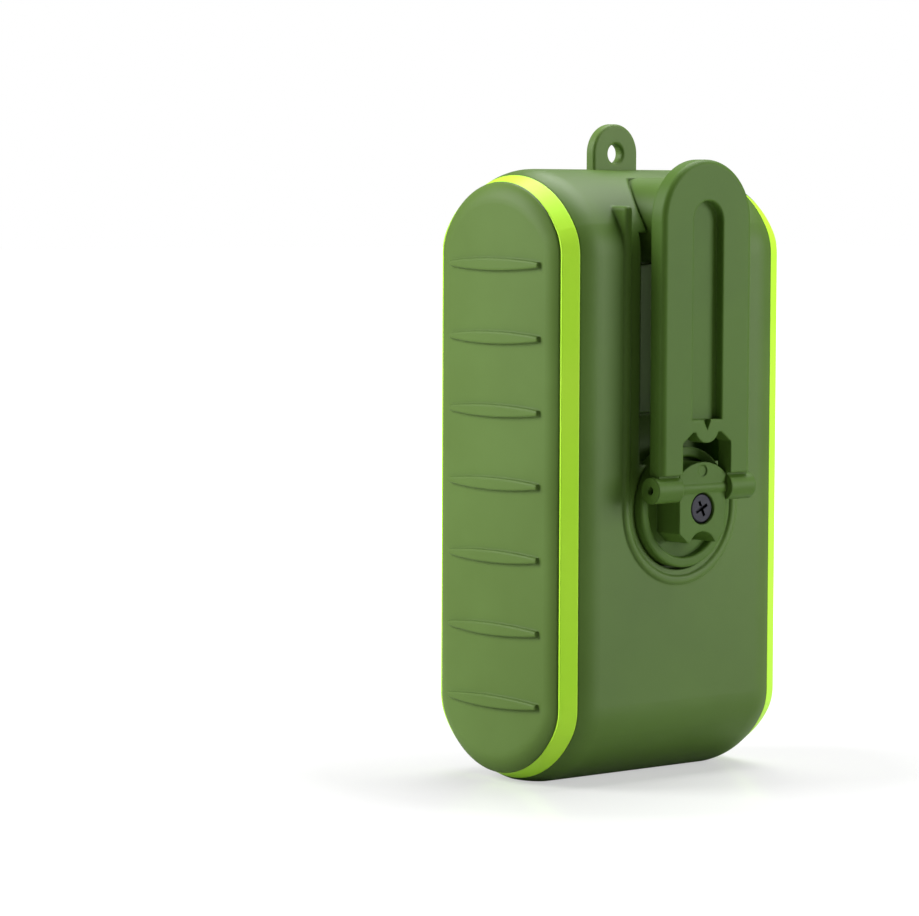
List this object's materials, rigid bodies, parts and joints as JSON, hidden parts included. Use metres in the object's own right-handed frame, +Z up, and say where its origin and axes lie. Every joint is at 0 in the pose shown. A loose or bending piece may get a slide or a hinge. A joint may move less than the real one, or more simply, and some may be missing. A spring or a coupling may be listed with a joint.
{
  "type": "hand crank phone charger",
  "caption": "Pocket power bank with a folding hand crank on one face, a solar panel on the other, ribbed side grips, a sliding port cover and a lanyard loop.",
  "frame": {"origin": "centre of the flat foot under the case, midway between the side grips", "axes": "+Z up the case towards the lanyard loop, +Y out of the crank face, -Y out of the solar face, -X out of the side with the ports"},
  "size_m": [0.0675, 0.0515, 0.136],
  "materials": {
    "case_green": "soft-touch matte",
    "crank_green": "soft-touch matte",
    "grip_green": "soft-touch matte, slightly rubbery",
    "band_lime": "satin",
    "panel_black": "gloss",
    "solar_navy": "resin-coated cells",
    "black_screw": "black oxide",
    "steel": "plain",
    "port_metal": "bright plated",
    "gear_nylon": "moulded nylon",
    "gearbox_black": "moulded",
    "generator_metal": "plated",
    "rotor_magnet": "moulded, plastic-bonded magnet",
    "copper": "enamelled copper wire",
    "battery_foil": "foil pouch",
    "board_green": "solder mask",
    "chip_black": "moulded"
  },
  "bodies": {
    "case": {"front_shell": "case_green", "back_shell": "case_green", "knob_rest": "case_green", "left_grip": "grip_green", "right_grip": "grip_green", "lanyard_loop": "grip_green", "left_band": "band_lime", "right_band": "band_lime", "solar_backing": "panel_black", "solar_cells": "solar_navy", "gear_axle_one": "steel", "gear_axle_two": "steel", "gearbox_screw_1": "steel", "gearbox_screw_2": "steel", "gearbox_screw_3": "steel", "gearbox_screw_4": "steel", "usb_a_socket": "port_metal", "micro_usb_socket": "port_metal", "hub_bushing": "gear_nylon", "gearbox_frame": "gearbox_black", "gearbox_cover": "gearbox_black", "generator_can": "generator_metal", "generator_coil": "copper", "power_coil": "copper", "battery": "battery_foil", "circuit_board": "board_green", "power_chip": "chip_black"},
    "crank": {"crank_hub": "crank_green", "hub_screw": "black_screw", "hinge_pin": "steel", "drive_gear": "gear_nylon"},
    "arm": {"crank_arm": "crank_green", "knob_screw": "black_screw"},
    "handle": {"crank_knob": "crank_green"},
    "idler_one": {"idler_gear_one": "gear_nylon"},
    "idler_two": {"idler_gear_two": "gear_nylon"},
    "rotor": {"generator_rotor": "rotor_magnet"},
    "cover": {"port_cover": "grip_green"}
  },
  "joints": [
    {"name": "crank_spin", "type": "hinge", "parent": "case", "child": "crank", "pos_m": [0, 0.0216, 0.057], "axis": [0, 1, 0], "continuous": true},
    {"name": "arm_fold", "type": "hinge", "parent": "crank", "child": "arm", "pos_m": [0, 0.0272, 0.0612], "axis": [-1, 0, 0], "range_deg": [0, 180]},
    {"name": "knob_spin", "type": "hinge", "parent": "arm", "child": "handle", "pos_m": [0, 0.024, 0.116], "axis": [0, 1, 0], "continuous": true},
    {"name": "idler_one_spin", "type": "hinge", "parent": "case", "child": "idler_one", "pos_m": [0.004, 0.0095, 0.03945], "axis": [0, 1, 0], "continuous": true},
    {"name": "idler_two_spin", "type": "hinge", "parent": "case", "child": "idler_two", "pos_m": [0.012, 0.006, 0.02676], "axis": [0, 1, 0], "continuous": true},
    {"name": "rotor_spin", "type": "hinge", "parent": "case", "child": "rotor", "pos_m": [0, 0, 0.02326], "axis": [0, 1, 0], "continuous": true},
    {"name": "port_slide", "type": "slide", "parent": "case", "child": "cover", "axis": [0, 0, -1], "range_m": [0, 0.0126]}
  ],
  "couplings": [
    {"joint": "idler_one_spin", "follows": "crank_spin", "ratio": -5},
    {"joint": "idler_two_spin", "follows": "crank_spin", "ratio": 20},
    {"joint": "rotor_spin", "follows": "crank_spin", "ratio": -80}
  ]
}
